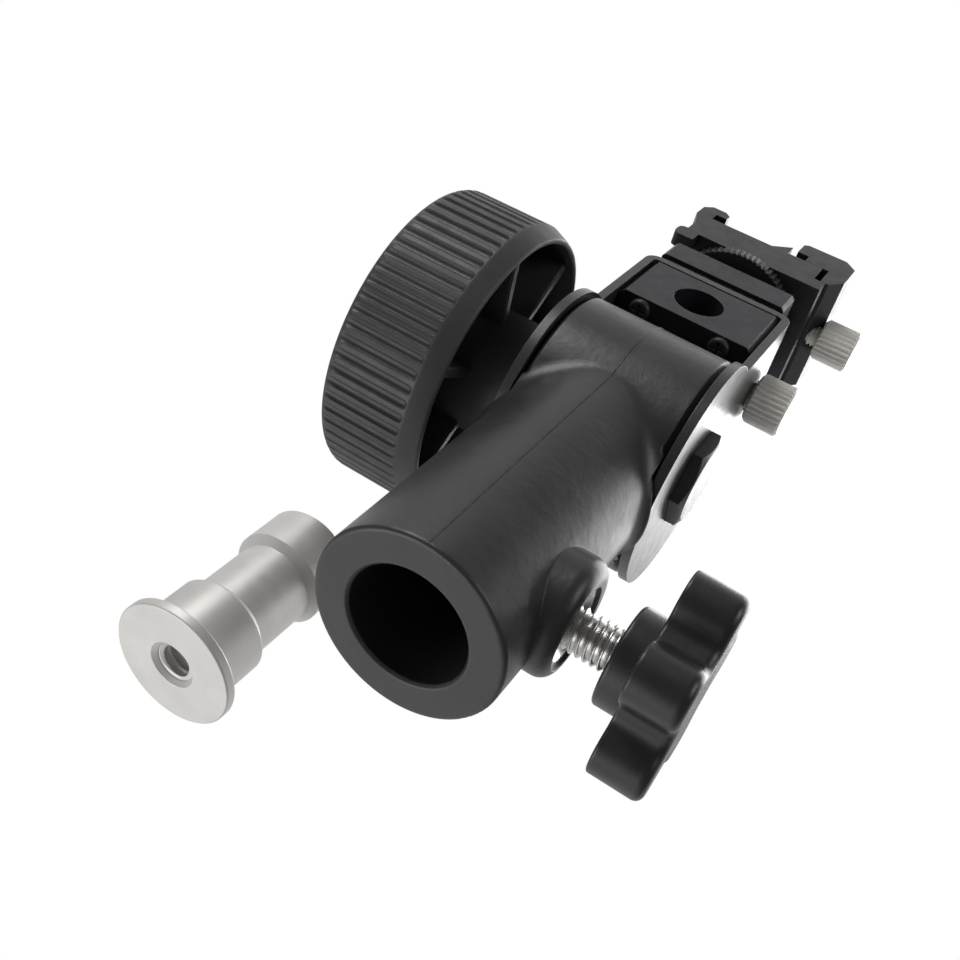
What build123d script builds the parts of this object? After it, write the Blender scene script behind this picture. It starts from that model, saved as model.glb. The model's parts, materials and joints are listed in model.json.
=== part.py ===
from build123d import *
import os
from math import cos, pi, sin, sqrt

# Umbrella swivel bracket with a clamping shoe, and its loose stand spigot. Millimetres.
# The bracket stands upright, as on a light stand: the origin is the middle of the socket's
# mouth, +Z runs up the socket tube, +X runs along the tilt axis from the big knob to the
# hexagon bolt head, and +Y points to the back.

# ---- socket casting (tube, drum and clamp boss)
BORE_R = 8.15
BORE_DEPTH = 42.0
TUBE_R = 13.1
MOUTH_ROUND = 0.6
MOUTH_CHAMFER = 0.4
TILT_Y = 2.2
TILT_Z = 56.3
HEAD_X = 0.4
DRUM_R = 17.6
DRUM_HALF = 11.5
DRUM_ROUND = 0.8
BLEND_R = 4.0
ARM_SWEEP_R = 18.8
BOSS_Z = 15.0
BOSS_R = 8.2
BOSS_END = 15.6
BOSS_ROUND = 2.2

# ---- tilt bolt, its washers and the big knob
BOLT_R = 4.0
PIVOT_HOLE_R = 4.06
BOLT_HEAD_FLATS = 13.0
BOLT_HEAD_THICK = 2.2
BOLT_TIP = -30.0
FRICTION_WASHER_R = 10.0
FRICTION_WASHER_THICK = 0.3
TILT_WASHER_R = 8.6
TILT_WASHER_THICK = 1.6
KNOB_LIP = -19.4
KNOB_BAND = 3.0
KNOB_FACE = -36.7
KNOB_R = 24.2
KNOB_CORNER = 2.0
KNOB_LIP_R = 23.0
KNOB_MOUTH_R = 22.2
KNOB_FLUTES = 66
KNOB_FLUTE_R = 0.8
KNOB_FLUTE_DEPTH = 0.6
KNOB_WEB = 3.2
KNOB_HUB_R = 10.0
KNOB_RIBS = 6
KNOB_RIB_THICK = 1.6
KNOB_RIB_START = -20.8
KNOB_RIB_ANGLE = 35.0
NUT_LENGTH = 6.5

# ---- folded yoke bracket
YOKE_INNER = 11.85
YOKE_THICK = 1.4
YOKE_DISC_R = 18.1
YOKE_HALF_DEPTH = 11.0
YOKE_TOP = 91.0
YOKE_BEND_R = 2.4

# ---- umbrella block and its screws
BLOCK_HALF = 11.8
BLOCK_BOTTOM = 75.2
BLOCK_CHAMFER = 1.1
UMBRELLA_Z = 82.0
UMBRELLA_R = 4.2
BLOCK_SCREW_X = 7.0
BLOCK_SCREW_Y = 9.0
BLOCK_SCREW_R = 1.2
BLOCK_SCREW_HEAD_R = 1.75
BLOCK_SCREW_HEAD = 1.0

# ---- top plate, quarter-inch stud and knurled lock disc
PLATE_HALF_X = 11.4
PLATE_HALF_Y = 11.0
PLATE_NECK_TOP = 93.1
PLATE_TOP = 99.5
STUD_R = 3.175
STUD_PITCH = 1.27
STUD_TIP = 112.4
STUD_HOLE_R = 3.23
DISC_BOTTOM = 103.4
DISC_TOP = 105.6
DISC_R = 12.0
DISC_TEETH = 72

# ---- clamping shoe
SHOE_HALF_DEPTH = 11.0
SHOE_BOTTOM = 105.7
SHOE_FLOOR = 114.5
SHOE_SLOT_TOP = 117.0
SHOE_SLOT_LEFT = -10.6
SHOE_LIP_LEFT = -8.5
JAW_SLOT = 8.2
JAW_LIP = 6.0
JAW_OUTER = 16.4
JAW_TOP = 121.8
SHOE_RIGHT = 11.6
SHOE_TOE = 13.8
SHOE_TOE_TOP = 109.1
JAW_SCREW_Z = 111.6

# ---- small knurled screws
LOCK_STEM_R = 2.5
LOCK_HEAD_R = 4.3
LOCK_HEAD_START = 14.1
LOCK_HEAD_LENGTH = 6.15
LOCK_TEETH = 30
JAW_STEM_R = 2.0
JAW_HEAD_R = 3.8
JAW_HEAD_START = 16.6
JAW_HEAD_LENGTH = 6.6
JAW_TEETH = 26

# ---- socket clamp screw and its star knob
CLAMP_Z = 14.0
CLAMP_STEM_R = 3.0
CLAMP_PITCH = 1.0
CLAMP_TIP = 8.5
INSERT_R = 5.75
INSERT_START = 10.6
STAR_COLLAR_START = 21.3
STAR_COLLAR_R = 6.6
STAR_START = 24.8
STAR_END = 31.9
STAR_R = 13.7
STAR_LOBES = 5
STAR_LOBE_R = 3.9
STAR_HUB_R = 8.7
STAR_TURN = 50.0

# ---- loose stand spigot
SPIGOT_X = -33.0
SPIGOT_Y = 32.5
SPIGOT_LENGTH = 31.7
SPIGOT_R = 7.95
SPIGOT_FLANGE_R = 10.1
SPIGOT_FLANGE = 1.7
SPIGOT_WAIST_R = 6.7
SPIGOT_WAIST_START = 10.6
SPIGOT_WAIST_END = 22.9
SPIGOT_SMALL_HOLE_R = 3.175
SPIGOT_LARGE_HOLE_R = 4.76
SPIGOT_SMALL_DEPTH = 12.0
SPIGOT_LARGE_DEPTH = 14.0

GAP = 0.05


def rod_x(radius, start, end, y=0.0, z=0.0):
    """A cylinder along X from start to end."""
    length = end - start
    return Pos((start + end) / 2, y, z) * Rot(0, 90, 0) * Cylinder(radius, length)


def tilt_rod(radius, start, end):
    """A cylinder along the tilt axis from start to end."""
    return rod_x(radius, start, end, TILT_Y, TILT_Z)


def rod_y(radius, start, end, x=0.0, z=0.0):
    """A cylinder along Y from start to end."""
    return Pos(x, (start + end) / 2, z) * Rot(90, 0, 0) * Cylinder(radius, end - start)


def rod_z(radius, start, end, x=0.0, y=0.0):
    """A cylinder along Z from start to end."""
    return Pos(x, y, (start + end) / 2) * Cylinder(radius, end - start)


def box(x_range, y_range, z_range):
    """A box between two corners, given as three ranges."""
    sizes = [high - low for low, high in (x_range, y_range, z_range)]
    middle = [(high + low) / 2 for low, high in (x_range, y_range, z_range)]
    return Pos(*middle) * Box(*sizes)


def front_prism(points, y_low, y_high):
    """An outline drawn in the XZ plane, extruded along Y."""
    face = make_face(Polyline(*[(x, 0, z) for x, z in points], close=True))
    return Pos(0, y_low, 0) * extrude(face, amount=y_high - y_low, dir=(0, 1, 0))


def turned(profile, angle=360):
    """A closed (radius, height) outline turned about Z."""
    face = make_face(Polyline(*[(r, 0, h) for r, h in profile], close=True))
    return revolve(face, Axis.Z, angle)


def along_x(solid, x=0.0, y=0.0, z=0.0):
    """Lays a solid that was turned about Z along +X, with its zero height at x."""
    return Pos(x, y, z) * Rot(0, 90, 0) * solid


def threaded_rod(radius, pitch, length, lead=0.6):
    """A rod about Z from 0 to length, with ring grooves of thread depth for its whole length."""
    depth = 0.55 * pitch
    count = int((length - 2 * lead) / pitch)
    start = (length - count * pitch) / 2
    profile = [(0, 0), (radius - lead, 0), (radius - depth, start)]
    for turn in range(count):
        base = start + turn * pitch
        profile += [(radius, base + 0.42 * pitch), (radius, base + 0.58 * pitch)]
        profile += [(radius - depth, base + pitch)]
    profile += [(radius - lead, length), (0, length)]
    return turned(profile)


def knurled_disc(radius, length, teeth, depth):
    """A disc about Z from 0 to length whose rim is cut into straight pointed teeth."""
    half_step = pi / teeth
    points = []
    for index in range(teeth):
        angle = 2 * index * half_step
        points.append((radius * cos(angle), radius * sin(angle)))
        inner = radius - depth
        points.append((inner * cos(angle + half_step), inner * sin(angle + half_step)))
    return extrude(make_face(Polyline(*points, close=True)), amount=length)


def hexagon(flats, length):
    """A hexagon prism about Z from 0 to length, measured across its flats."""
    return extrude(RegularPolygon(flats / sqrt(3), 6), amount=length)


def chamfered_ends(radius, length, cut):
    """A solid of revolution that trims both end corners of a head at 45 degrees."""
    return turned([(0, 0), (radius - cut, 0), (radius, cut), (radius, length - cut),
                   (radius - cut, length), (0, length)])


# ---- socket casting

def make_socket_body():
    tube = rod_z(TUBE_R, 0, TILT_Z)
    tube = fillet(tube.edges().group_by(Axis.Z)[0], MOUTH_ROUND)
    # The drum starts too long, so that its blend with the tube is one closed ring.
    body = tube + tilt_rod(DRUM_R, -DRUM_HALF - 6, DRUM_HALF + 6)
    ring = [e for e in body.edges() if 20 < e.center().Z < TILT_Z and e.geom_type == GeomType.BSPLINE]
    body = fillet(ring, BLEND_R)
    # Both sides are cut back where the yoke's discs turn, and the drum's corners are broken.
    corner = DRUM_HALF - DRUM_ROUND
    for side in (-1, 1):
        disc_space = turned([(0, DRUM_HALF), (DRUM_R - DRUM_ROUND, DRUM_HALF), (DRUM_R + 0.1, corner),
                             (DRUM_R + 0.1, DRUM_HALF), (ARM_SWEEP_R, DRUM_HALF), (ARM_SWEEP_R, 30), (0, 30)])
        body -= Pos(HEAD_X, TILT_Y, TILT_Z) * Rot(0, 90 * side, 0) * disc_space
    boss = rod_x(BOSS_R, 4, BOSS_END, z=BOSS_Z)
    body += fillet(boss.edges().group_by(Axis.X)[-1], BOSS_ROUND)
    body -= rod_z(BORE_R, -1, BORE_DEPTH)
    body -= turned([(0, -0.1), (BORE_R + MOUTH_CHAMFER + 0.1, -0.1), (BORE_R, MOUTH_CHAMFER),
                    (0, MOUTH_CHAMFER)])
    body -= tilt_rod(PIVOT_HOLE_R, -20, 20)
    body -= rod_x(CLAMP_STEM_R + 0.3, 0, BOSS_END, z=CLAMP_Z)
    body -= rod_x(INSERT_R, INSERT_START, BOSS_END + 1, z=CLAMP_Z)
    return body


def make_clamp_insert():
    insert = rod_x(INSERT_R - 0.02, INSERT_START + 0.02, BOSS_END - 0.5, z=CLAMP_Z)
    insert -= rod_x(CLAMP_STEM_R + GAP, 10, BOSS_END, z=CLAMP_Z)
    mouth = turned([(0, 0), (INSERT_R - 1.0, 0), (CLAMP_STEM_R, 1.8), (0, 1.8)])
    return insert - Pos(BOSS_END - 0.5, 0, CLAMP_Z) * Rot(0, -90, 0) * mouth


def make_friction_washers():
    washers = []
    for side in (-1, 1):
        near = HEAD_X + side * (DRUM_HALF + 0.02)
        low, high = sorted((near, near + side * FRICTION_WASHER_THICK))
        ring = tilt_rod(FRICTION_WASHER_R, low, high)
        washers.append(ring - tilt_rod(PIVOT_HOLE_R + 0.02, low - 1, high + 1))
    return washers


# ---- head: yoke, umbrella block, plate and bolt

def make_yoke_bracket():
    outer = YOKE_INNER + YOKE_THICK
    shell = box((-outer, outer), (-YOKE_HALF_DEPTH, YOKE_HALF_DEPTH), (TILT_Z, YOKE_TOP))
    shell = fillet(shell.edges().filter_by(Axis.Y).group_by(Axis.Z)[-1], YOKE_BEND_R)
    shell = Pos(HEAD_X, 0, 0) * shell + tilt_rod(YOKE_DISC_R, HEAD_X - outer, HEAD_X + outer)
    inside = box((-YOKE_INNER, YOKE_INNER), (-30, 30), (TILT_Z - 40, YOKE_TOP - YOKE_THICK))
    inside = fillet(inside.edges().filter_by(Axis.Y).group_by(Axis.Z)[-1], 0.8)
    bracket = shell - Pos(HEAD_X, 0, 0) * inside
    bracket -= tilt_rod(BOLT_R + 0.1, -20, 20)
    bracket -= rod_x(LOCK_STEM_R + 0.2, YOKE_INNER - 1, 20, z=UMBRELLA_Z)
    bracket -= rod_z(STUD_R + 0.1, YOKE_TOP - 4, YOKE_TOP + 1)
    for x, y in block_screw_places():
        bracket -= rod_z(BLOCK_SCREW_R + 0.15, YOKE_TOP - 4, YOKE_TOP + 1, x, y)
    return bracket


def block_screw_places():
    return [(x, y) for x in (-BLOCK_SCREW_X, BLOCK_SCREW_X) for y in (-BLOCK_SCREW_Y, BLOCK_SCREW_Y)]


def make_umbrella_block():
    top = YOKE_TOP - YOKE_THICK - 0.02
    depth = (-YOKE_HALF_DEPTH, YOKE_HALF_DEPTH)
    block = box((-BLOCK_HALF, BLOCK_HALF), depth, (BLOCK_BOTTOM, top))
    block = chamfer(block.edges().filter_by(Axis.Z), BLOCK_CHAMFER)
    block = chamfer(block.edges().filter_by(Axis.X).group_by(Axis.Z)[-1], 0.5)
    block = Pos(HEAD_X, 0, 0) * chamfer(block.edges().filter_by(Axis.Y).group_by(Axis.Z)[-1], 0.9)
    block -= rod_y(UMBRELLA_R, -30, 30, z=UMBRELLA_Z)
    block -= rod_x(LOCK_STEM_R + GAP, 0, 30, z=UMBRELLA_Z)
    block -= rod_z(STUD_R + 0.1, top - 1.5, top + 1)
    for x, y in block_screw_places():
        block -= rod_z(BLOCK_SCREW_R + 0.1, BLOCK_BOTTOM - 1, top + 1, x, y)
    return block


def make_block_screws():
    screws = []
    for x, y in block_screw_places():
        head = rod_z(BLOCK_SCREW_HEAD_R, BLOCK_BOTTOM - BLOCK_SCREW_HEAD, BLOCK_BOTTOM - 0.01, x, y)
        head = fillet(head.edges().group_by(Axis.Z)[0], 0.55)
        slot = box((x - 1.1, x + 1.1), (y - 0.2, y + 0.2), (BLOCK_BOTTOM - 2, BLOCK_BOTTOM - 0.55))
        cross = box((x - 0.2, x + 0.2), (y - 1.1, y + 1.1), (BLOCK_BOTTOM - 2, BLOCK_BOTTOM - 0.55))
        shank = rod_z(BLOCK_SCREW_R, BLOCK_BOTTOM - 0.2, YOKE_TOP + 4.0, x, y)
        screws.append(head - slot - cross + shank)
    return screws


def make_top_plate():
    neck = box((-10.2, 10.2), (-10.2, 10.2), (YOKE_TOP + 0.02, PLATE_NECK_TOP))
    plate = box((-PLATE_HALF_X, PLATE_HALF_X), (-PLATE_HALF_Y, PLATE_HALF_Y),
                (PLATE_NECK_TOP - 0.01, PLATE_TOP))
    plate = chamfer(plate.edges().filter_by(Axis.Z), 0.6)
    plate = chamfer(plate.edges().group_by(Axis.Z)[-1], 0.4)
    body = neck + plate
    body -= rod_z(STUD_R + 0.02, YOKE_TOP - 1, PLATE_TOP + 1)
    for x, y in block_screw_places():
        body -= rod_z(BLOCK_SCREW_R + 0.02, YOKE_TOP - 1, YOKE_TOP + 4.2, x, y)
    return body


def make_shoe_stud():
    base = YOKE_TOP - YOKE_THICK - 1.4
    return Pos(0, 0, base) * threaded_rod(STUD_R, STUD_PITCH, STUD_TIP - base)


def make_tilt_bolt():
    face = HEAD_X + YOKE_INNER + YOKE_THICK + 0.02
    corner = BOLT_HEAD_FLATS / sqrt(3)
    head = hexagon(BOLT_HEAD_FLATS, BOLT_HEAD_THICK)
    head &= turned([(0, 0), (corner, 0), (corner, BOLT_HEAD_THICK - 0.7),
                    (corner - 1.3, BOLT_HEAD_THICK), (0, BOLT_HEAD_THICK)])
    return along_x(head, face, TILT_Y, TILT_Z) + tilt_rod(BOLT_R, BOLT_TIP, face + 0.5)


# ---- big knob

def washer_face():
    return HEAD_X - YOKE_INNER - YOKE_THICK - GAP


def hub_end():
    return washer_face() - TILT_WASHER_THICK - GAP


def make_tilt_washer():
    washer = tilt_rod(TILT_WASHER_R, washer_face() - TILT_WASHER_THICK, washer_face())
    return washer - tilt_rod(BOLT_R + GAP, -30, 0)


def make_tilt_knob():
    band_end = KNOB_LIP - KNOB_BAND
    length = band_end - KNOB_FACE
    outline = Circle(KNOB_R)
    for index in range(KNOB_FLUTES):
        angle = 2 * pi * index / KNOB_FLUTES
        reach = KNOB_R + KNOB_FLUTE_R - KNOB_FLUTE_DEPTH
        outline -= Pos(reach * cos(angle), reach * sin(angle)) * Circle(KNOB_FLUTE_R)
    ribbed = extrude(outline, amount=length)
    # The corner between the flutes and the face is broken in two steps.
    envelope = turned([(0, 0), (KNOB_R, 0), (KNOB_R, length - KNOB_CORNER),
                       (KNOB_R - KNOB_CORNER / 4, length - KNOB_CORNER / 4),
                       (KNOB_R - KNOB_CORNER, length), (0, length)])
    ribbed &= envelope
    # A smooth band slopes from the flutes' ends in to the lip.
    band = turned([(0, -KNOB_BAND), (KNOB_LIP_R, -KNOB_BAND), (KNOB_R - 0.25, 0), (KNOB_R - 0.25, 0.01),
                   (0, 0.01)])
    cup = ribbed + band
    cavity = turned([(0, -KNOB_BAND - 1), (KNOB_MOUTH_R, -KNOB_BAND - 1),
                     (KNOB_MOUTH_R, -KNOB_BAND), (KNOB_MOUTH_R - 0.5, length - KNOB_WEB),
                     (0, length - KNOB_WEB)])
    cup -= cavity
    cup = Pos(band_end, TILT_Y, TILT_Z) * Rot(0, -90, 0) * cup
    cup += tilt_rod(KNOB_HUB_R, KNOB_FACE + KNOB_WEB - 0.5, hub_end())
    for index in range(KNOB_RIBS):
        rib = box((KNOB_FACE + KNOB_WEB - 0.5, KNOB_RIB_START), (-KNOB_RIB_THICK / 2, KNOB_RIB_THICK / 2),
                  (KNOB_HUB_R - 0.5, KNOB_MOUTH_R + 0.2))
        turn = 360 / KNOB_RIBS * index + KNOB_RIB_ANGLE
        cup += Pos(0, TILT_Y, TILT_Z) * Rot(turn, 0, 0) * rib
    cup -= tilt_rod(BOLT_R + 0.2, KNOB_FACE + KNOB_WEB + 0.8, -10)
    cup -= along_x(hexagon(BOLT_HEAD_FLATS, NUT_LENGTH + 1), hub_end() - NUT_LENGTH, TILT_Y, TILT_Z)
    return cup


def make_knob_nut():
    nut = hexagon(BOLT_HEAD_FLATS - 0.04, NUT_LENGTH - 0.1)
    return along_x(nut, hub_end() - NUT_LENGTH + 0.05, TILT_Y, TILT_Z) - tilt_rod(BOLT_R + GAP, -40, 0)


# ---- lock disc and shoe

def make_lock_disc():
    length = DISC_TOP - DISC_BOTTOM
    disc = knurled_disc(DISC_R, length, DISC_TEETH, 0.45)
    disc &= chamfered_ends(DISC_R, length, 0.3)
    return Pos(0, 0, DISC_BOTTOM) * disc - rod_z(STUD_HOLE_R, DISC_BOTTOM - 1, DISC_TOP + 1)


def make_shoe_base():
    depth = (-SHOE_HALF_DEPTH, SHOE_HALF_DEPTH)
    outline = [(-12.2, SHOE_BOTTOM), (SHOE_TOE, SHOE_BOTTOM), (SHOE_TOE, SHOE_TOE_TOP),
               (SHOE_RIGHT, SHOE_TOE_TOP), (SHOE_RIGHT, SHOE_FLOOR), (SHOE_SLOT_LEFT, SHOE_FLOOR),
               (SHOE_SLOT_LEFT, SHOE_SLOT_TOP), (SHOE_LIP_LEFT, SHOE_SLOT_TOP),
               (SHOE_LIP_LEFT, SHOE_SLOT_TOP + 1.6), (SHOE_LIP_LEFT - 1.1, SHOE_SLOT_TOP + 2.7),
               (-12.2, SHOE_SLOT_TOP + 2.7), (-13.6, SHOE_SLOT_TOP + 1.0), (-13.6, 114.2),
               (-12.2, 110.4)]
    base = front_prism(outline, *depth)
    # Four feet straddle the lock disc.
    for side in (-1, 1):
        low, high = sorted((side * 8.5, side * SHOE_HALF_DEPTH))
        foot = box((-13.6, -9.8), (low, high), (102.7, 106.5))
        foot = fillet(foot.edges().filter_by(Axis.Y).group_by(Axis.X)[0], 1.2)
        base += foot
    # A ramp at the front of the floor stops the flash foot.
    base += front_prism([(1.6, SHOE_FLOOR - 0.2), (1.6, SHOE_FLOOR), (4.8, SHOE_FLOOR + 3.2),
                         (4.8, SHOE_FLOOR - 0.2)], -SHOE_HALF_DEPTH, -SHOE_HALF_DEPTH + 1.6)
    base -= rod_z(STUD_HOLE_R, SHOE_BOTTOM - 4, STUD_TIP + 0.3)
    base -= rod_x(JAW_STEM_R + GAP, 4.2, 20, z=JAW_SCREW_Z)
    return base


def make_clamp_jaw():
    depth = (-SHOE_HALF_DEPTH, SHOE_HALF_DEPTH)
    leg_inner = SHOE_RIGHT + 1.2
    leg_bottom = SHOE_TOE_TOP + 0.12
    outline = [(JAW_LIP, SHOE_SLOT_TOP), (JAW_LIP, JAW_TOP - 0.9), (JAW_LIP + 0.8, JAW_TOP - 0.2),
               (JAW_OUTER - 2.2, JAW_TOP), (JAW_OUTER, JAW_TOP - 2.2), (JAW_OUTER, leg_bottom + 3.2),
               (JAW_OUTER - 2.0, leg_bottom), (leg_inner, leg_bottom), (leg_inner, SHOE_FLOOR + 0.1),
               (JAW_SLOT, SHOE_FLOOR + 0.1), (JAW_SLOT, SHOE_SLOT_TOP)]
    jaw = front_prism(outline, *depth)
    return jaw - rod_x(JAW_STEM_R + GAP, 10, 20, z=JAW_SCREW_Z)


# ---- small screws

def knurled_head(radius, start, length, teeth, z):
    head = knurled_disc(radius, length, teeth, 0.42)
    head &= chamfered_ends(radius, length, 0.5)
    return along_x(head, start, 0, z)


def make_lock_screw_stem():
    start = UMBRELLA_R + GAP
    return along_x(threaded_rod(LOCK_STEM_R, 0.8, LOCK_HEAD_START + 4.5 - start), start, 0, UMBRELLA_Z)


def make_lock_screw_head():
    head = knurled_head(LOCK_HEAD_R, LOCK_HEAD_START, LOCK_HEAD_LENGTH, LOCK_TEETH, UMBRELLA_Z)
    return head - rod_x(LOCK_STEM_R + GAP, 0, LOCK_HEAD_START + 4.7, z=UMBRELLA_Z)


def make_jaw_screw():
    head = knurled_head(JAW_HEAD_R, JAW_HEAD_START, JAW_HEAD_LENGTH, JAW_TEETH, JAW_SCREW_Z)
    stem = along_x(threaded_rod(JAW_STEM_R, 0.7, JAW_HEAD_START + 1 - 5.6), 5.6, 0, JAW_SCREW_Z)
    return head + stem


# ---- socket clamp screw

def make_clamp_stem():
    length = STAR_END - 2.0 - CLAMP_TIP
    return along_x(threaded_rod(CLAMP_STEM_R, CLAMP_PITCH, length), CLAMP_TIP, 0, CLAMP_Z)


def make_star_knob():
    outline = Circle(STAR_HUB_R)
    for index in range(STAR_LOBES):
        angle = 360 / STAR_LOBES * index
        reach = STAR_R - STAR_LOBE_R
        lobe = Pos(reach / 2, 0) * Rectangle(reach, 2 * STAR_LOBE_R) + Pos(reach, 0) * Circle(STAR_LOBE_R)
        outline += Rot(0, 0, angle) * lobe
    inner_corners = [v for v in outline.vertices() if sqrt(v.X ** 2 + v.Y ** 2) < STAR_HUB_R + 0.3]
    outline = fillet(inner_corners, 2.2)
    star = extrude(outline, amount=STAR_END - STAR_START)
    star = fillet(star.edges().group_by(Axis.Z)[-1], 1.2)
    star = fillet(star.edges().group_by(Axis.Z)[0], 0.4)
    # Heights run along +X and the outline's X axis turns to -Z, so lobe 0 starts out pointing down.
    star = Pos(STAR_START, 0, CLAMP_Z) * Rot(0, 90, 0) * Rot(0, 0, STAR_TURN - 90) * star
    collar = rod_x(STAR_COLLAR_R, STAR_COLLAR_START, STAR_START + 0.5, z=CLAMP_Z)
    collar = fillet(collar.edges().group_by(Axis.X)[0], 0.5)
    knob = star + collar
    return knob - rod_x(CLAMP_STEM_R + GAP, 10, STAR_END - 1.8, z=CLAMP_Z)


# ---- loose spigot

def make_spigot():
    edge = 0.7
    step = 0.6
    body = turned([(0, 0), (SPIGOT_FLANGE_R - 0.2, 0), (SPIGOT_FLANGE_R, 0.2),
                   (SPIGOT_FLANGE_R, SPIGOT_FLANGE - 0.2), (SPIGOT_FLANGE_R - 0.2, SPIGOT_FLANGE),
                   (SPIGOT_R, SPIGOT_FLANGE), (SPIGOT_R, SPIGOT_WAIST_START - step),
                   (SPIGOT_WAIST_R, SPIGOT_WAIST_START + step), (SPIGOT_WAIST_R, SPIGOT_WAIST_END - step),
                   (SPIGOT_R, SPIGOT_WAIST_END + step), (SPIGOT_R, SPIGOT_LENGTH - edge),
                   (SPIGOT_R - edge, SPIGOT_LENGTH), (0, SPIGOT_LENGTH)])
    body -= rod_z(SPIGOT_SMALL_HOLE_R, -1, SPIGOT_SMALL_DEPTH)
    body -= turned([(0, -0.01), (SPIGOT_SMALL_HOLE_R + 0.7, -0.01), (SPIGOT_SMALL_HOLE_R, 0.7), (0, 0.7)])
    body -= rod_z(SPIGOT_LARGE_HOLE_R, SPIGOT_LENGTH - SPIGOT_LARGE_DEPTH, SPIGOT_LENGTH + 1)
    return Pos(SPIGOT_X, SPIGOT_Y, 0) * body


PIECES = {
    "socket_body": make_socket_body,
    "clamp_insert": make_clamp_insert,
    "friction_washers": make_friction_washers,
    "yoke_bracket": make_yoke_bracket,
    "umbrella_block": make_umbrella_block,
    "block_screws": make_block_screws,
    "top_plate": make_top_plate,
    "shoe_stud": make_shoe_stud,
    "tilt_bolt": make_tilt_bolt,
    "tilt_washer": make_tilt_washer,
    "tilt_knob": make_tilt_knob,
    "knob_nut": make_knob_nut,
    "lock_disc": make_lock_disc,
    "shoe_base": make_shoe_base,
    "clamp_jaw": make_clamp_jaw,
    "jaw_screw": make_jaw_screw,
    "lock_screw_stem": make_lock_screw_stem,
    "lock_screw_head": make_lock_screw_head,
    "clamp_stem": make_clamp_stem,
    "star_knob": make_star_knob,
    "spigot": make_spigot,
}

os.makedirs("parts", exist_ok=True)
for node, make in PIECES.items():
    made = make()
    solids = made if isinstance(made, list) else made.solids()
    shape = solids[0] if len(solids) == 1 else Compound(children=list(solids))
    export_step(shape, f"parts/{node}.step")
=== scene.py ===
import json
from math import cos, pi, radians, sin, sqrt

import bmesh
import bpy
from mathutils import Matrix, Vector


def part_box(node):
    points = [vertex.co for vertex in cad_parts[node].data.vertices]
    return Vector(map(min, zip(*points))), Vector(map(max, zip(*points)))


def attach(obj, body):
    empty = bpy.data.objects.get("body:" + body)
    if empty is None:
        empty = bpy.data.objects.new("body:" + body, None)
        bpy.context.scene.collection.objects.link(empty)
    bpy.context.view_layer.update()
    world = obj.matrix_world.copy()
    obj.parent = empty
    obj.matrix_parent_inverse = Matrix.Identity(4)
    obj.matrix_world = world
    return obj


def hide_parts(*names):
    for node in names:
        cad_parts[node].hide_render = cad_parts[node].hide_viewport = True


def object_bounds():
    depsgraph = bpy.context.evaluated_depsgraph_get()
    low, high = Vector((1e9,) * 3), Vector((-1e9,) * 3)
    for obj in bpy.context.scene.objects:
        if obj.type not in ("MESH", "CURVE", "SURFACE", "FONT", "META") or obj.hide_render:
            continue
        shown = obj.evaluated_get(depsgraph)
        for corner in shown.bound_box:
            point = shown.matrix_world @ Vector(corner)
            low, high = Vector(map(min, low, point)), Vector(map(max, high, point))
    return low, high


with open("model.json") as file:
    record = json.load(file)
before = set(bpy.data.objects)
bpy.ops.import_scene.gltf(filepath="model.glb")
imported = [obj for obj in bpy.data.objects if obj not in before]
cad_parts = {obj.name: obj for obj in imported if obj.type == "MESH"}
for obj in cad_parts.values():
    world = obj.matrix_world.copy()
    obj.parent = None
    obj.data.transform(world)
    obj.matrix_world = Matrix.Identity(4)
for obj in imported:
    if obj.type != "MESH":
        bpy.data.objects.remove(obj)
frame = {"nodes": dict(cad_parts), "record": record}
cad_low, cad_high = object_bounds()

MM = 0.001
NODES = frame["nodes"]

# ---- camera: it looks up at the socket's mouth, from in front and below
CAMERA_AT = Vector((0.0362, -0.0944, -0.0835))
CAMERA_RIGHT = Vector((0.835, -0.217, 0.505))
CAMERA_UP = Vector((-0.470, -0.758, 0.452))
CAMERA_LENS = 42.68
SENSOR_WIDTH = 36.0

# ---- big knob, which replaces its plain CAD node
KNOB_LENGTH = 17.3 * MM
KNOB_FLUTES = 66
KNOB_FLUTE_R = 0.8 * MM
KNOB_FLUTE_DEPTH = 0.6 * MM
KNOB_BAND = 3.0 * MM
KNOB_LIP_R = 23.0 * MM
KNOB_MOUTH_R = 22.2 * MM
KNOB_WALL_END_R = 21.7 * MM
KNOB_WEB = 3.2 * MM
KNOB_HUB_R = 10.0 * MM
KNOB_POCKET_FLATS = 13.0 * MM
KNOB_POCKET_DEPTH = 6.5 * MM
KNOB_BOLT_HOLE_R = 4.2 * MM
KNOB_CORNER = 2.0 * MM
KNOB_FACE_EDGE_R = 22.2 * MM
KNOB_RIBS = 6
KNOB_RIB_THICK = 1.6 * MM
KNOB_RIB_TURN = 35.0
KNOB_RIB_SINK = 0.3 * MM
KNOB_RIB_BELOW_LIP = 1.4 * MM
KNOB_DISH_DEPTH = 0.7 * MM
KNOB_DISH_R = 17.2 * MM
KNOB_DISH_SLOPE = 1.2 * MM
KNOB_DISH_MIDDLE_R = 3.0 * MM
KNOB_CORNER_STEPS = 12

# ---- threads
CLAMP_PITCH = 1.0 * MM
STUD_PITCH = 1.27 * MM
LARGE_PITCH = 1.5875 * MM
THREAD_DEPTH = 0.55
THREAD_CREST = 0.14
RINGS_PER_PITCH = 16
THREAD_SEGMENTS = 48

# ---- socket casting
TUBE_R = 13.1 * MM
DRUM_R = 17.6 * MM
SEAM_R = 0.11 * MM

# ---- stage and surroundings
FLOOR_HALF = 1.6
BASE_GLOW = 0.12


# ==== mesh building

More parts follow.
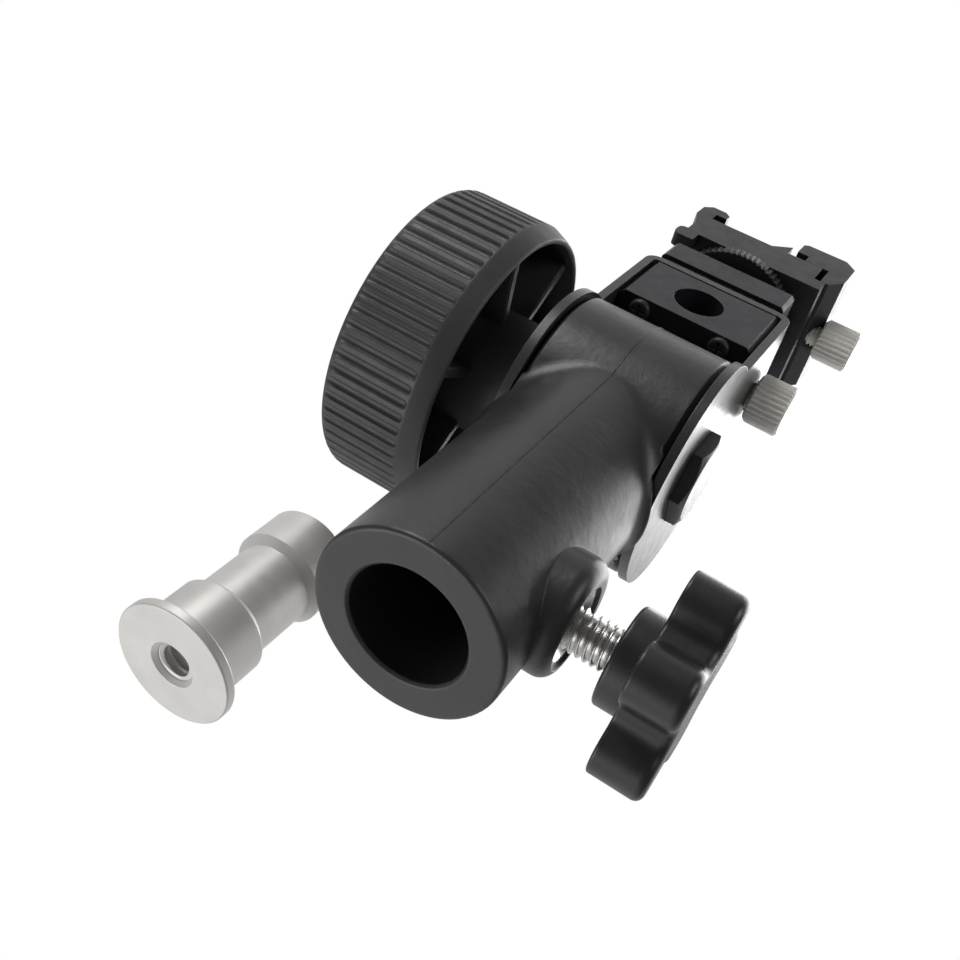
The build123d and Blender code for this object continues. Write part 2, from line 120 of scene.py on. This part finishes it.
def mesh_piece(name, points, faces, material, body, smooth_angle=32.0):
    """A closed mesh piece in the row frame, which rides on a body and takes a material slot's finish."""
    mesh = bpy.data.meshes.new(name)
    mesh.from_pydata([tuple(p) for p in points], [], faces)
    mesh.update()
    tidy = bmesh.new()
    tidy.from_mesh(mesh)
    bmesh.ops.remove_doubles(tidy, verts=tidy.verts, dist=1e-7)
    bmesh.ops.recalc_face_normals(tidy, faces=tidy.faces)
    tidy.to_mesh(mesh)
    tidy.free()
    mesh.shade_smooth()
    mesh.set_sharp_from_angle(angle=radians(smooth_angle))
    mesh.materials.append(material)
    piece = bpy.data.objects.new(name, mesh)
    bpy.context.scene.collection.objects.link(piece)
    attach(piece, body)
    return piece


def ring_grid(rings, closed):
    """Points and faces of a skin over rings of equal count.

    It is closed from its end to its start, or by a fan at each end.
    """
    count = len(rings[0])
    points = [point for ring in rings for point in ring]
    faces = []
    last = len(rings) if closed else len(rings) - 1
    for row in range(last):
        here = row * count
        there = (row + 1) % len(rings) * count
        for i in range(count):
            j = (i + 1) % count
            faces.append((here + i, here + j, there + j, there + i))
    if not closed:
        for ring, start in ((rings[0], 0), (rings[-1], (len(rings) - 1) * count)):
            centre = sum(ring, Vector()) / count
            points.append(centre)
            hub = len(points) - 1
            faces += [(start + i, start + (i + 1) % count, hub) for i in range(count)]
    return points, faces


def along_x(origin, sign=1):
    """A frame whose heights run along +X or -X from a point."""
    return Matrix.Translation(origin) @ Matrix.Rotation(sign * pi / 2, 4, "Y")


def thread_radius(radius, pitch, height, turn):
    """The radius of a right-hand V thread with a flat crest, at a height and a share of a turn."""
    phase = (height / pitch - turn) % 1.0
    slope = max(0.0, abs(2 * phase - 1) - THREAD_CREST) / (1 - THREAD_CREST)
    return radius - THREAD_DEPTH * pitch * slope


def threaded_rod(name, radius, pitch, length, place, material, body):
    """A rod with a helical thread and chamfered ends, from height 0 to length in a placed frame."""
    count = int(length / pitch * RINGS_PER_PITCH)
    lead = THREAD_DEPTH * pitch
    rings = []
    for row in range(count + 1):
        height = length * row / count
        near_end = min(height, length - height)
        ring = []
        for i in range(THREAD_SEGMENTS):
            turn = i / THREAD_SEGMENTS
            r = min(thread_radius(radius, pitch, height, turn), radius - lead + near_end)
            ring.append(place @ Vector((r * cos(2 * pi * turn), r * sin(2 * pi * turn), height)))
        rings.append(ring)
    points, faces = ring_grid(rings, closed=False)
    return mesh_piece(name, points, faces, material, body, smooth_angle=60)


def thread_sleeve(name, radius, pitch, start, end, centre, material, body):
    """A thin sleeve that lines a hole along Z with an internal thread."""
    count = int((end - start) / pitch * RINGS_PER_PITCH)
    wall = radius - 0.01 * MM
    heights = [start + (end - start) * row / count for row in range(count + 1)]
    rings = []
    for height in heights:
        ring = []
        for i in range(THREAD_SEGMENTS):
            turn = i / THREAD_SEGMENTS
            root = thread_radius(radius, pitch, height + pitch / 2, turn)
            r = min(radius - 0.04 * MM, 2 * radius - THREAD_DEPTH * pitch - root)
            ring.append(centre + Vector((r * cos(2 * pi * turn), r * sin(2 * pi * turn), height)))
        rings.append(ring)
    for height in (end, start):
        ring = []
        for i in range(THREAD_SEGMENTS):
            angle = 2 * pi * i / THREAD_SEGMENTS
            ring.append(centre + Vector((wall * cos(angle), wall * sin(angle), height)))
        rings.append(ring)
    points, faces = ring_grid(rings, closed=True)
    return mesh_piece(name, points, faces, material, body, smooth_angle=60)


# ==== materials

class Surface:
    """A procedural material: textures in object space that feed one Principled shader."""

    def __init__(self, name, colour, roughness, metallic=0.0, specular=0.5):
        self.material = bpy.data.materials.new(name)
        self.material.use_nodes = True
        self.tree = self.material.node_tree
        self.shader = self.tree.nodes["Principled BSDF"]
        self.coordinates = self.add("ShaderNodeTexCoord").outputs["Object"]
        self.set("Base Color", (*colour, 1))
        self.set("Roughness", roughness)
        self.set("Metallic", metallic)
        self.set("Specular IOR Level", specular)
        self.normal = None

    def add(self, kind, **values):
        node = self.tree.nodes.new(kind)
        for key, value in values.items():
            setattr(node, key, value)
        return node

    def set(self, socket, value):
        self.shader.inputs[socket].default_value = value

    def link(self, output, socket):
        self.tree.links.new(output, socket)

    def noise(self, scale, detail=2.0, stretch=(1, 1, 1), contrast=0.5):
        """A 0 to 1 noise of so many features a metre, stretched along an axis."""
        mapping = self.add("ShaderNodeMapping")
        mapping.inputs["Scale"].default_value = stretch
        self.link(self.coordinates, mapping.inputs["Vector"])
        texture = self.add("ShaderNodeTexNoise")
        texture.inputs["Scale"].default_value = scale
        texture.inputs["Detail"].default_value = detail
        self.link(mapping.outputs["Vector"], texture.inputs["Vector"])
        return self.range(texture.outputs["Fac"], 0.5 - contrast / 2, 0.5 + contrast / 2, 0, 1)

    def range(self, value, low, high, out_low, out_high):
        node = self.add("ShaderNodeMapRange")
        self.link(value, node.inputs["Value"])
        node.inputs["From Min"].default_value = low
        node.inputs["From Max"].default_value = high
        node.inputs["To Min"].default_value = out_low
        node.inputs["To Max"].default_value = out_high
        return node.outputs["Result"]

    def maths(self, operation, first, second):
        node = self.add("ShaderNodeMath", operation=operation)
        for socket, value in zip(node.inputs, (first, second)):
            if isinstance(value, (int, float)):
                socket.default_value = value
            else:
                self.link(value, socket)
        return node.outputs["Value"]

    def tint(self, factor, other):
        """Mixes the colour so far with another one, by a 0 to 1 factor."""
        mix = self.add("ShaderNodeMix", data_type="RGBA")
        self.link(factor, mix.inputs["Factor"])
        base = self.shader.inputs["Base Color"]
        if base.is_linked:
            self.link(base.links[0].from_socket, mix.inputs["A"])
        else:
            mix.inputs["A"].default_value = base.default_value
        mix.inputs["B"].default_value = (*other, 1)
        self.link(mix.outputs["Result"], base)

    def gloss(self, factor, smooth, rough):
        """Roughness runs from smooth to rough with the factor."""
        self.link(self.range(factor, 0, 1, smooth, rough), self.shader.inputs["Roughness"])

    def soften_edges(self, radius):
        """Rounds the shading of sharp edges, and returns a mask of where they are."""
        bevel = self.add("ShaderNodeBevel", samples=4)
        bevel.inputs["Radius"].default_value = radius
        self.normal = bevel.outputs["Normal"]
        plain = self.add("ShaderNodeNewGeometry").outputs["Normal"]
        dot = self.add("ShaderNodeVectorMath", operation="DOT_PRODUCT")
        self.link(self.normal, dot.inputs[0])
        self.link(plain, dot.inputs[1])
        return self.range(dot.outputs["Value"], 0.99, 0.86, 0, 1)

    def bump(self, height, depth):
        node = self.add("ShaderNodeBump")
        node.inputs["Strength"].default_value = 1.0
        node.inputs["Distance"].default_value = depth
        self.link(height, node.inputs["Height"])
        if self.normal is not None:
            self.link(self.normal, node.inputs["Normal"])
        self.normal = node.outputs["Normal"]

    def done(self):
        if self.normal is not None:
            self.link(self.normal, self.shader.inputs["Normal"])
        return self.material


def cast_paint():
    """Satin powder coat: a soft orange peel, a finer grain, and edges rubbed a little grey."""
    s = Surface("cast_paint", (0.021, 0.022, 0.025), 0.38, specular=0.5)
    edges = s.soften_edges(0.35 * MM)
    clouds = s.noise(90, detail=3, contrast=0.6)
    s.tint(clouds, (0.038, 0.036, 0.036))
    s.gloss(s.noise(260, detail=4), 0.31, 0.43)
    s.tint(s.maths("MULTIPLY", edges, s.noise(1500, contrast=0.4)), (0.10, 0.10, 0.10))
    s.bump(s.noise(620, detail=1.5), 0.022 * MM)
    s.bump(s.noise(3600, detail=2), 0.006 * MM)
    return s.done()


def moulded_plastic(name, colour, smooth, rough, grain):
    """Moulded plastic with an eroded mould's grain, faint flow marks and polished edges."""
    s = Surface(name, colour, rough, specular=0.5)
    edges = s.soften_edges(0.22 * MM)
    lighter = tuple(1.35 * c for c in colour)
    s.tint(s.noise(120, detail=4, stretch=(0.4, 1, 1)), lighter)
    s.gloss(s.noise(420, detail=3), smooth, rough)
    s.tint(s.maths("MULTIPLY", edges, 0.55), tuple(2.6 * c for c in colour))
    s.bump(s.noise(2300, detail=3), grain)
    s.bump(s.noise(260, detail=1), grain * 1.5)
    return s.done()


def sheet_paint():
    """Smooth black paint on pressed steel, glossier than the casting."""
    s = Surface("sheet_paint", (0.028, 0.029, 0.031), 0.3, specular=0.55)
    edges = s.soften_edges(0.2 * MM)
    s.tint(s.noise(140, detail=3), (0.034, 0.035, 0.036))
    s.gloss(s.noise(350, detail=4), 0.26, 0.38)
    s.tint(s.maths("MULTIPLY", edges, s.noise(1300, contrast=0.35)), (0.13, 0.13, 0.125))
    s.bump(s.noise(850, detail=2), 0.010 * MM)
    return s.done()


def anodised(name, colour, stretch):
    """Black anodised aluminium with faint milling streaks along one axis."""
    s = Surface(name, colour, 0.4, metallic=0.1, specular=0.38)
    edges = s.soften_edges(0.16 * MM)
    streaks = s.noise(900, detail=3, stretch=stretch)
    s.tint(streaks, tuple(1.5 * c for c in colour))
    s.gloss(s.noise(500, detail=4), 0.34, 0.48)
    s.tint(s.maths("MULTIPLY", edges, s.noise(1800, contrast=0.4)), (0.16, 0.155, 0.15))
    s.bump(streaks, 0.004 * MM)
    s.bump(s.noise(5200, detail=2), 0.003 * MM)
    return s.done()


def plated(name, colour, smooth, rough, hollow_shade, metallic=1.0):
    """Plated steel: fine turning marks, cloudy gloss, and painted shade that darkens the hollows."""
    s = Surface(name, colour, smooth, metallic=metallic)
    edges = s.soften_edges(0.10 * MM)
    s.gloss(s.noise(700, detail=4), smooth, rough)
    # painted shade: where pointiness is low, in hollows and inner corners, the colour darkens towards the
    # shade colour
    low = s.range(s.add("ShaderNodeNewGeometry").outputs["Pointiness"], 0.50, 0.44, 0, 1)
    s.tint(s.maths("MULTIPLY", low, 0.85), hollow_shade)
    s.tint(s.noise(260, detail=3), tuple(0.86 * c for c in colour))
    s.tint(s.maths("MULTIPLY", edges, 0.5), (0.95, 0.94, 0.92))
    s.bump(s.noise(1400, detail=2, stretch=(0.15, 1, 1)), 0.004 * MM)
    return s.done()


def turned_metal(name, colour, centre):
    """Pale turned metal: fine rings about an upright axis, which run over both faces and walls."""
    s = Surface(name, colour, 0.38, metallic=0.4)
    edges = s.soften_edges(0.18 * MM)
    shift = s.add("ShaderNodeVectorMath", operation="SUBTRACT")
    s.link(s.coordinates, shift.inputs[0])
    shift.inputs[1].default_value = centre
    parts = s.add("ShaderNodeSeparateXYZ")
    s.link(shift.outputs["Vector"], parts.inputs["Vector"])
    x, y, z = (parts.outputs[axis] for axis in "XYZ")
    square = s.maths("ADD", s.maths("MULTIPLY", x, x), s.maths("MULTIPLY", y, y))
    travel = s.maths("ADD", s.maths("SQRT", square, 0), z)
    rings = s.add("ShaderNodeTexNoise", noise_dimensions="1D")
    rings.inputs["Scale"].default_value = 5200
    rings.inputs["Detail"].default_value = 3
    s.link(travel, rings.inputs["W"])
    bands = s.add("ShaderNodeTexNoise", noise_dimensions="1D")
    bands.inputs["Scale"].default_value = 620
    s.link(travel, bands.inputs["W"])
    s.gloss(bands.outputs["Fac"], 0.32, 0.46)
    s.tint(s.noise(170, detail=5, contrast=0.6), tuple(0.84 * c for c in colour))
    s.tint(s.maths("MULTIPLY", edges, 0.4), (0.9, 0.89, 0.87))
    s.bump(rings.outputs["Fac"], 0.0035 * MM)
    s.bump(s.noise(900, detail=2), 0.004 * MM)
    return s.done()


def fibre():
    """Matt pressed fibre with short random strands."""
    s = Surface("fibre", (0.02, 0.02, 0.022), 0.8, specular=0.3)
    s.tint(s.noise(1600, detail=4, stretch=(1, 0.3, 1)), (0.05, 0.048, 0.045))
    s.bump(s.noise(2600, detail=3), 0.012 * MM)
    return s.done()


def make_materials():
    spigot_low, spigot_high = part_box("spigot")
    centre = (spigot_low + spigot_high) / 2
    # the last colour of each plated finish is the painted shade in its hollows
    zinc = plated("bright_zinc", (0.74, 0.73, 0.71), 0.18, 0.34, (0.10, 0.095, 0.09))
    steel = plated("plain_steel", (0.55, 0.55, 0.56), 0.24, 0.42, (0.08, 0.078, 0.075))
    star = moulded_plastic("star_plastic", (0.015, 0.015, 0.017), 0.30, 0.42, 0.006 * MM)
    paint = sheet_paint()
    knob = moulded_plastic("knob_plastic", (0.040, 0.039, 0.040), 0.42, 0.56, 0.009 * MM)
    return {
        "body_cast": cast_paint(),
        "insert_metal": steel,
        "fibre": fibre(),
        "yoke_paint": paint,
        "block_anodised": anodised("block_anodised", (0.014, 0.015, 0.018), (1, 0.2, 0.2)),
        "screw_black": anodised("black_steel", (0.030, 0.030, 0.032), (1, 1, 0.4)),
        "stud_steel": steel,
        "bolt_black": paint,
        "washer_steel": steel,
        "knob_plastic": knob,
        "nut_steel": zinc,
        "disc_black": anodised("black_disc", (0.020, 0.021, 0.023), (1, 1, 0.3)),
        "shoe_anodised": anodised("shoe_anodised", (0.018, 0.019, 0.021), (0.25, 1, 1)),
        # (0.60, 0.54, 0.47) is the nickel's painted shade in its hollows
        "nickel": plated("warm_nickel", (0.93, 0.90, 0.85), 0.30, 0.44, (0.60, 0.54, 0.47), metallic=0.2),
        "thread_zinc": zinc,
        "star_plastic": star,
        "spigot_metal": turned_metal("turned_metal", (0.80, 0.775, 0.75), (centre.x, centre.y, 0)),
    }


# ==== pieces

def flute_angles(radius):
    """Angles round the knob: several across each flute, and the middle of each land."""
    deep = KNOB_FLUTE_R - KNOB_FLUTE_DEPTH
    half = sqrt(KNOB_FLUTE_R ** 2 - deep ** 2)
    across = [share * half for share in (-1.12, -1.0, -0.9, -0.6, -0.25, 0.25, 0.6, 0.9, 1.0, 1.12)]
    step = 2 * pi / KNOB_FLUTES
    return [index * step + offset / radius for index in range(KNOB_FLUTES) for offset in across]


def flute_cut(angle, past_end, radius):
    """How deep a flute is at an angle, at a distance past the centre of its round end."""
    step = 2 * pi / KNOB_FLUTES
    nearest = round(angle / step) * step
    across = (angle - nearest) * radius
    reach = KNOB_FLUTE_R ** 2 - across ** 2 - max(past_end, 0.0) ** 2
    if reach <= 0:
        return 0.0
    return max(0.0, sqrt(reach) - (KNOB_FLUTE_R - KNOB_FLUTE_DEPTH))


def knob_profile(radius, hub_height):
    """Rings of the knob from its face to the bottom of its bolt hole, as (height, radius, kind).

    Heights run from the lip, 0, to the face, and are negative on the hub, which stands out of the lip.
    """
    face = KNOB_LENGTH
    dish = face - KNOB_DISH_DEPTH
    rings = [(dish, KNOB_DISH_MIDDLE_R, "round"), (dish, KNOB_DISH_R, "round"),
             (face - KNOB_DISH_DEPTH / 2, KNOB_DISH_R + KNOB_DISH_SLOPE / 2, "round"),
             (face, KNOB_DISH_R + KNOB_DISH_SLOPE, "round")]
    for step in range(KNOB_CORNER_STEPS + 1):
        angle = pi / 2 * (1 - step / KNOB_CORNER_STEPS)
        height = face - KNOB_CORNER * (1 - sin(angle))
        rings.append((height, KNOB_FACE_EDGE_R + (radius - KNOB_FACE_EDGE_R) * cos(angle), "flute"))
    end = KNOB_BAND + KNOB_FLUTE_R
    for share in (0.8, 0.6, 0.4, 0.2, 0.0):
        rings.append((end + share * (face - KNOB_CORNER - end), radius, "flute"))
    for share in (0.3, 0.55, 0.75, 0.88, 0.96):
        rings.append((end - share * KNOB_FLUTE_R, radius, "flute"))
    rings += [(KNOB_BAND - 0.05 * MM, radius, "round"), (KNOB_BAND - 0.35 * MM, radius - 0.12 * MM, "round"),
              (0.35 * MM, KNOB_LIP_R + 0.12 * MM, "round"), (0.1 * MM, KNOB_LIP_R - 0.05 * MM, "round"),
              (0.0, KNOB_LIP_R - 0.25 * MM, "round"), (0.0, KNOB_MOUTH_R + 0.2 * MM, "round"),
              (0.2 * MM, KNOB_MOUTH_R, "round"), (face - KNOB_WEB - 0.8 * MM, KNOB_WALL_END_R, "round"),
              (face - KNOB_WEB - 0.2 * MM, KNOB_WALL_END_R - 0.3 * MM, "round"),
              (face - KNOB_WEB, KNOB_WALL_END_R - 0.9 * MM, "round"),
              (face - KNOB_WEB, KNOB_HUB_R + 0.6 * MM, "round"),
              (face - KNOB_WEB - 0.6 * MM, KNOB_HUB_R, "round"),
              (hub_height + 0.5 * MM, KNOB_HUB_R, "round"), (hub_height, KNOB_HUB_R - 0.5 * MM, "round"),
              (hub_height, KNOB_POCKET_FLATS / 2, "hexagon"),
              (hub_height + KNOB_POCKET_DEPTH, KNOB_POCKET_FLATS / 2, "hexagon"),
              (hub_height + KNOB_POCKET_DEPTH, KNOB_BOLT_HOLE_R, "round"),
              (face - KNOB_WEB - 0.8 * MM, KNOB_BOLT_HOLE_R, "round")]
    return rings


def hexagon_radius(half_flats, angle):
    """The radius of a hexagon with a corner at angle 0."""
    sixth = pi / 3
    return half_flats / cos((angle % sixth) - sixth / 2)


def make_big_knob(materials):
    """The knob with flutes that end round at a smooth band, and its six inner ribs."""
    low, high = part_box("tilt_knob")
    radius = (high.y - low.y) / 2
    axis_y = (low.y + high.y) / 2
    axis_z = (low.z + high.z) / 2
    lip_x = low.x + KNOB_LENGTH
    place = along_x(Vector((lip_x, axis_y, axis_z)), -1)
    end = KNOB_BAND + KNOB_FLUTE_R
    angles = flute_angles(radius)
    rings = []
    for height, ring_r, kind in knob_profile(radius, lip_x - high.x):
        ring = []
        for angle in angles:
            r = ring_r
            if kind == "flute":
                r = min(ring_r, radius - flute_cut(angle, end - height, radius))
            if kind == "hexagon":
                r = hexagon_radius(ring_r, angle)
            ring.append(place @ Vector((r * cos(angle), r * sin(angle), height)))
        rings.append(ring)
    points, faces = ring_grid(rings, closed=False)
    knob = mesh_piece("big_knob", points, faces, materials["knob_plastic"], "knob")
    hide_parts("tilt_knob")
    ribs = rib_boxes(Vector((0, axis_y, axis_z)), low.x + KNOB_WEB - KNOB_RIB_SINK,
                     lip_x - KNOB_RIB_BELOW_LIP)
    ribs_piece = bpy.data.objects.new("big_knob_ribs", ribs)
    bpy.context.scene.collection.objects.link(ribs_piece)
    ribs.materials.append(materials["knob_plastic"])
    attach(ribs_piece, "knob")


def rib_boxes(axis, x_low, x_high):
    """One mesh of the knob's radial ribs: separate closed boxes with rounded edges."""
    ribs = bmesh.new()
    inner = KNOB_HUB_R - KNOB_RIB_SINK
    outer = KNOB_MOUTH_R - 0.1 * MM
    for index in range(KNOB_RIBS):
        made = bmesh.ops.create_cube(ribs, size=1.0)
        turn = radians(360 / KNOB_RIBS * index + KNOB_RIB_TURN)
        centre = Vector(((x_low + x_high) / 2, 0, (inner + outer) / 2))
        size = Vector((x_high - x_low, KNOB_RIB_THICK, outer - inner))
        place = (Matrix.Translation((0, axis.y, axis.z)) @ Matrix.Rotation(turn, 4, "X")
                 @ Matrix.Translation(centre) @ Matrix.Diagonal((*size, 1)))
        bmesh.ops.transform(ribs, matrix=place, verts=made["verts"])
    bmesh.ops.bevel(ribs, geom=list(ribs.edges), offset=0.22 * MM, segments=2, affect="EDGES")
    mesh = bpy.data.meshes.new("big_knob_ribs")
    ribs.to_mesh(mesh)
    ribs.free()
    mesh.shade_smooth()
    mesh.set_sharp_from_angle(angle=radians(40))
    return mesh


def make_threads(materials):
    """Helical threads in place of the CAD's plain rings, and the threads inside the spigot's holes."""
    low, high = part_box("clamp_stem")
    centre = (low + high) / 2
    rod = threaded_rod("clamp_thread", (high.y - low.y) / 2, CLAMP_PITCH, high.x - low.x,
                       along_x(Vector((low.x, centre.y, centre.z))), materials["thread_zinc"],
                       "clamp_rod")
    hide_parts("clamp_stem")
    low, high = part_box("shoe_stud")
    centre = (low + high) / 2
    stud = threaded_rod("stud_thread", (high.y - low.y) / 2, STUD_PITCH, high.z - low.z,
                        Matrix.Translation((centre.x, centre.y, low.z)), materials["stud_steel"],
                        "head")
    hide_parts("shoe_stud")
    mounts = {mount["name"]: mount for mount in frame["record"]["mounts"]}
    for name, mount_name, pitch, sign in (("small_hole_thread", "spigot_small_thread", STUD_PITCH, 1),
                                          ("large_hole_thread", "spigot_large_thread", LARGE_PITCH, -1)):
        mount = mounts[mount_name]
        mouth = Vector(mount["pos_m"])
        depth = mount["dims"]["length_mm"] * MM
        near, far = sorted((sign * 0.1 * MM, sign * (depth - 0.1 * MM)))
        thread_sleeve(name, mount["dims"]["r_mm"] * MM, pitch, near, far, mouth,
                      materials["spigot_metal"], "spigot_piece")


def outer_cut(node, axis, keep):
    """Chains of points where the plane through the origin, square to an axis, cuts a CAD node's skin."""
    cut = bmesh.new()
    cut.from_mesh(NODES[node].data)
    bmesh.ops.remove_doubles(cut, verts=cut.verts, dist=1e-7)
    everything = list(cut.verts) + list(cut.edges) + list(cut.faces)
    found = bmesh.ops.bisect_plane(cut, geom=everything, plane_co=(0, 0, 0), plane_no=axis)
    edges = [e for e in found["geom_cut"] if isinstance(e, bmesh.types.BMEdge)]
    edges = [e for e in edges if all(keep(v.co) for v in e.verts)]
    links = {}
    for edge in edges:
        first, second = edge.verts
        links.setdefault(first, []).append(second)
        links.setdefault(second, []).append(first)
    chains = []
    starts = sorted((v for v in links if len(links[v]) == 1), key=lambda v: tuple(v.co))
    used = set()
    for start in starts:
        if start in used:
            continue
        chain = [start]
        used.add(start)
        while True:
            following = [v for v in links[chain[-1]] if v not in used]
            if not following:
                break
            chain.append(following[0])
            used.add(following[0])
        chains.append([v.co.copy() for v in chain])
    cut.free()
    return [chain for chain in chains if len(chain) > 2]


def on_outer_skin(point, drum_y, drum_z):
    """Is a point on the outside of the tube or the drum, and not in a bore or on the mouth?"""
    if point.z < 0.5 * MM:
        return False
    from_tube = sqrt(point.x ** 2 + point.y ** 2)
    from_drum = sqrt((point.y - drum_y) ** 2 + (point.z - drum_z) ** 2)
    past_bore = from_tube > TUBE_R - 0.1 * MM or point.z > drum_z
    return past_bore and from_drum > DRUM_R - 0.1 * MM


def make_seam(materials):
    """The casting's mould line: a fine bead down the tube and over the drum, half sunk in the skin."""
    bead = bpy.data.curves.new("mould_seam", "CURVE")
    bead.dimensions = "3D"
    bead.bevel_depth = SEAM_R
    bead.bevel_resolution = 2
    bead.use_fill_caps = True
    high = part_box("socket_body")[1]
    drum_y = high.y - DRUM_R
    drum_z = high.z - DRUM_R
    for chain in outer_cut("socket_body", (1, 0, 0), lambda point: on_outer_skin(point, drum_y, drum_z)):
        spline = bead.splines.new("POLY")
        spline.points.add(len(chain) - 1)
        for target, point in zip(spline.points, chain):
            target.co = (*point, 1)
    source = bpy.data.objects.new("mould_seam_line", bead)
    mesh = bpy.data.meshes.new_from_object(source)
    bpy.data.objects.remove(source)
    mesh.name = "mould_seam"
    mesh.materials.clear()
    mesh.materials.append(materials["body_cast"])
    seam = bpy.data.objects.new("mould_seam", mesh)
    bpy.context.scene.collection.objects.link(seam)
    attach(seam, "socket")


def paint_nodes(materials):
    """Gives every CAD node the material of its slot in the record."""
    for part in frame["record"]["subparts"]:
        node = NODES[part["node"]]
        for slot in node.material_slots:
            slot.material = materials[part["material_slot"]]


# ==== stage, light and camera

def make_floor():
    """A pale floor under the socket's mouth. It has one side, so it doesn't hide the object from below."""
    surface = Surface("pale_floor", (0.82, 0.82, 0.81), 0.7)
    surface.tint(surface.noise(6, detail=3), (0.84, 0.84, 0.835))
    surface.bump(surface.noise(500, detail=2), 0.02 * MM)
    material = surface.done()
    backface = surface.add("ShaderNodeNewGeometry").outputs["Backfacing"]
    clear = surface.add("ShaderNodeBsdfTransparent")
    mix = surface.add("ShaderNodeMixShader")
    surface.link(backface, mix.inputs["Fac"])
    surface.link(surface.shader.outputs["BSDF"], mix.inputs[1])
    surface.link(clear.outputs["BSDF"], mix.inputs[2])
    surface.link(mix.outputs["Shader"], surface.tree.nodes["Material Output"].inputs["Surface"])
    height = cad_low.z - 0.1 * MM
    mesh = bpy.data.meshes.new("floor")
    corners = [(x * FLOOR_HALF, y * FLOOR_HALF, height) for x, y in ((-1, -1), (1, -1), (1, 1), (-1, 1))]
    mesh.from_pydata(corners, [], [(0, 1, 2, 3)])
    mesh.materials.append(material)
    floor = bpy.data.objects.new("floor", mesh)
    bpy.context.scene.collection.objects.link(floor)
    for ray in ("diffuse", "glossy", "transmission", "shadow"):
        setattr(floor, f"visible_{ray}", False)


def camera_axis(right, up, back):
    """A direction in the row frame, from its parts along the camera's axes."""
    behind = CAMERA_RIGHT.cross(CAMERA_UP)
    return (CAMERA_RIGHT * right + CAMERA_UP * up + behind * back).normalized()


def world_glow(tree, direction, start, end, strength):
    """The light of one broad glow in the surroundings, which fades away from a direction."""
    dot = tree.nodes.new("ShaderNodeVectorMath")
    dot.operation = "DOT_PRODUCT"
    tree.links.new(tree.nodes["Texture Coordinate"].outputs["Generated"], dot.inputs[0])
    dot.inputs[1].default_value = direction
    fade = tree.nodes.new("ShaderNodeMapRange")
    fade.interpolation_type = "SMOOTHSTEP"
    tree.links.new(dot.outputs["Value"], fade.inputs["Value"])
    fade.inputs["From Min"].default_value = start
    fade.inputs["From Max"].default_value = end
    fade.inputs["To Min"].default_value = 0.0
    fade.inputs["To Max"].default_value = strength
    return fade.outputs["Result"]


def make_world():
    """White surroundings with broad glows behind the object, at its lower left, and above and behind it."""
    world = bpy.data.worlds.new("white_surroundings")
    world.use_nodes = True
    bpy.context.scene.world = world
    tree = world.node_tree
    tree.nodes.new("ShaderNodeTexCoord")
    glows = [
        world_glow(tree, camera_axis(0.35, -0.15, -0.9), 0.2, 0.95, 0.55),
        world_glow(tree, camera_axis(-0.75, -0.65, 0.05), 0.35, 0.95, 0.80),
        world_glow(tree, camera_axis(0.1, 0.8, -0.6), 0.55, 1.0, 0.55),
    ]
    total = glows[0]
    for glow in glows[1:]:
        add = tree.nodes.new("ShaderNodeMath")
        tree.links.new(total, add.inputs[0])
        tree.links.new(glow, add.inputs[1])
        total = add.outputs["Value"]
    with_base = tree.nodes.new("ShaderNodeMath")
    with_base.inputs[1].default_value = BASE_GLOW
    tree.links.new(total, with_base.inputs[0])
    ray = tree.nodes.new("ShaderNodeLightPath")
    seen = tree.nodes.new("ShaderNodeMix")
    tree.links.new(ray.outputs["Is Camera Ray"], seen.inputs["Factor"])
    tree.links.new(with_base.outputs["Value"], seen.inputs["A"])
    seen.inputs["B"].default_value = 1.0
    background = tree.nodes["Background"]
    background.inputs["Color"].default_value = (1, 1, 1, 1)
    tree.links.new(seen.outputs["Result"], background.inputs["Strength"])


def area_light(name, direction, distance, size, power):
    """A soft square light that faces the object's middle from a direction."""
    middle = (cad_low + cad_high) / 2
    data = bpy.data.lights.new(name, "AREA")
    data.shape = "SQUARE"
    data.size = size
    data.energy = power
    light = bpy.data.objects.new(name, data)
    bpy.context.scene.collection.objects.link(light)
    light.location = middle + direction * distance
    light.rotation_mode = "QUATERNION"
    light.rotation_quaternion = (-direction).to_track_quat("-Z", "Y")


def make_camera():
    back = CAMERA_RIGHT.cross(CAMERA_UP)
    data = bpy.data.cameras.new("camera")
    data.lens = CAMERA_LENS
    data.sensor_width = SENSOR_WIDTH
    data.clip_start = 0.005
    data.clip_end = 10
    camera = bpy.data.objects.new("camera", data)
    bpy.context.scene.collection.objects.link(camera)
    turn = Matrix((CAMERA_RIGHT, CAMERA_UP, back)).transposed()
    camera.matrix_world = Matrix.Translation(CAMERA_AT) @ turn.to_4x4()
    bpy.context.scene.camera = camera


make_camera()
make_world()
make_floor()
area_light("key", camera_axis(-0.15, 0.85, 0.25), 0.45, 0.22, 1.0)
area_light("low_left", camera_axis(-0.8, -0.3, 0.5), 0.45, 0.25, 0.55)
area_light("right", camera_axis(0.85, 0.1, 0.5), 0.45, 0.2, 0.45)
area_light("overhead", Vector((0.3, 0.2, 0.9)).normalized(), 0.6, 0.5, 3.0)
bpy.context.scene.view_settings.view_transform = "Standard"

materials = make_materials()
paint_nodes(materials)
make_big_knob(materials)
make_threads(materials)
make_seam(materials)
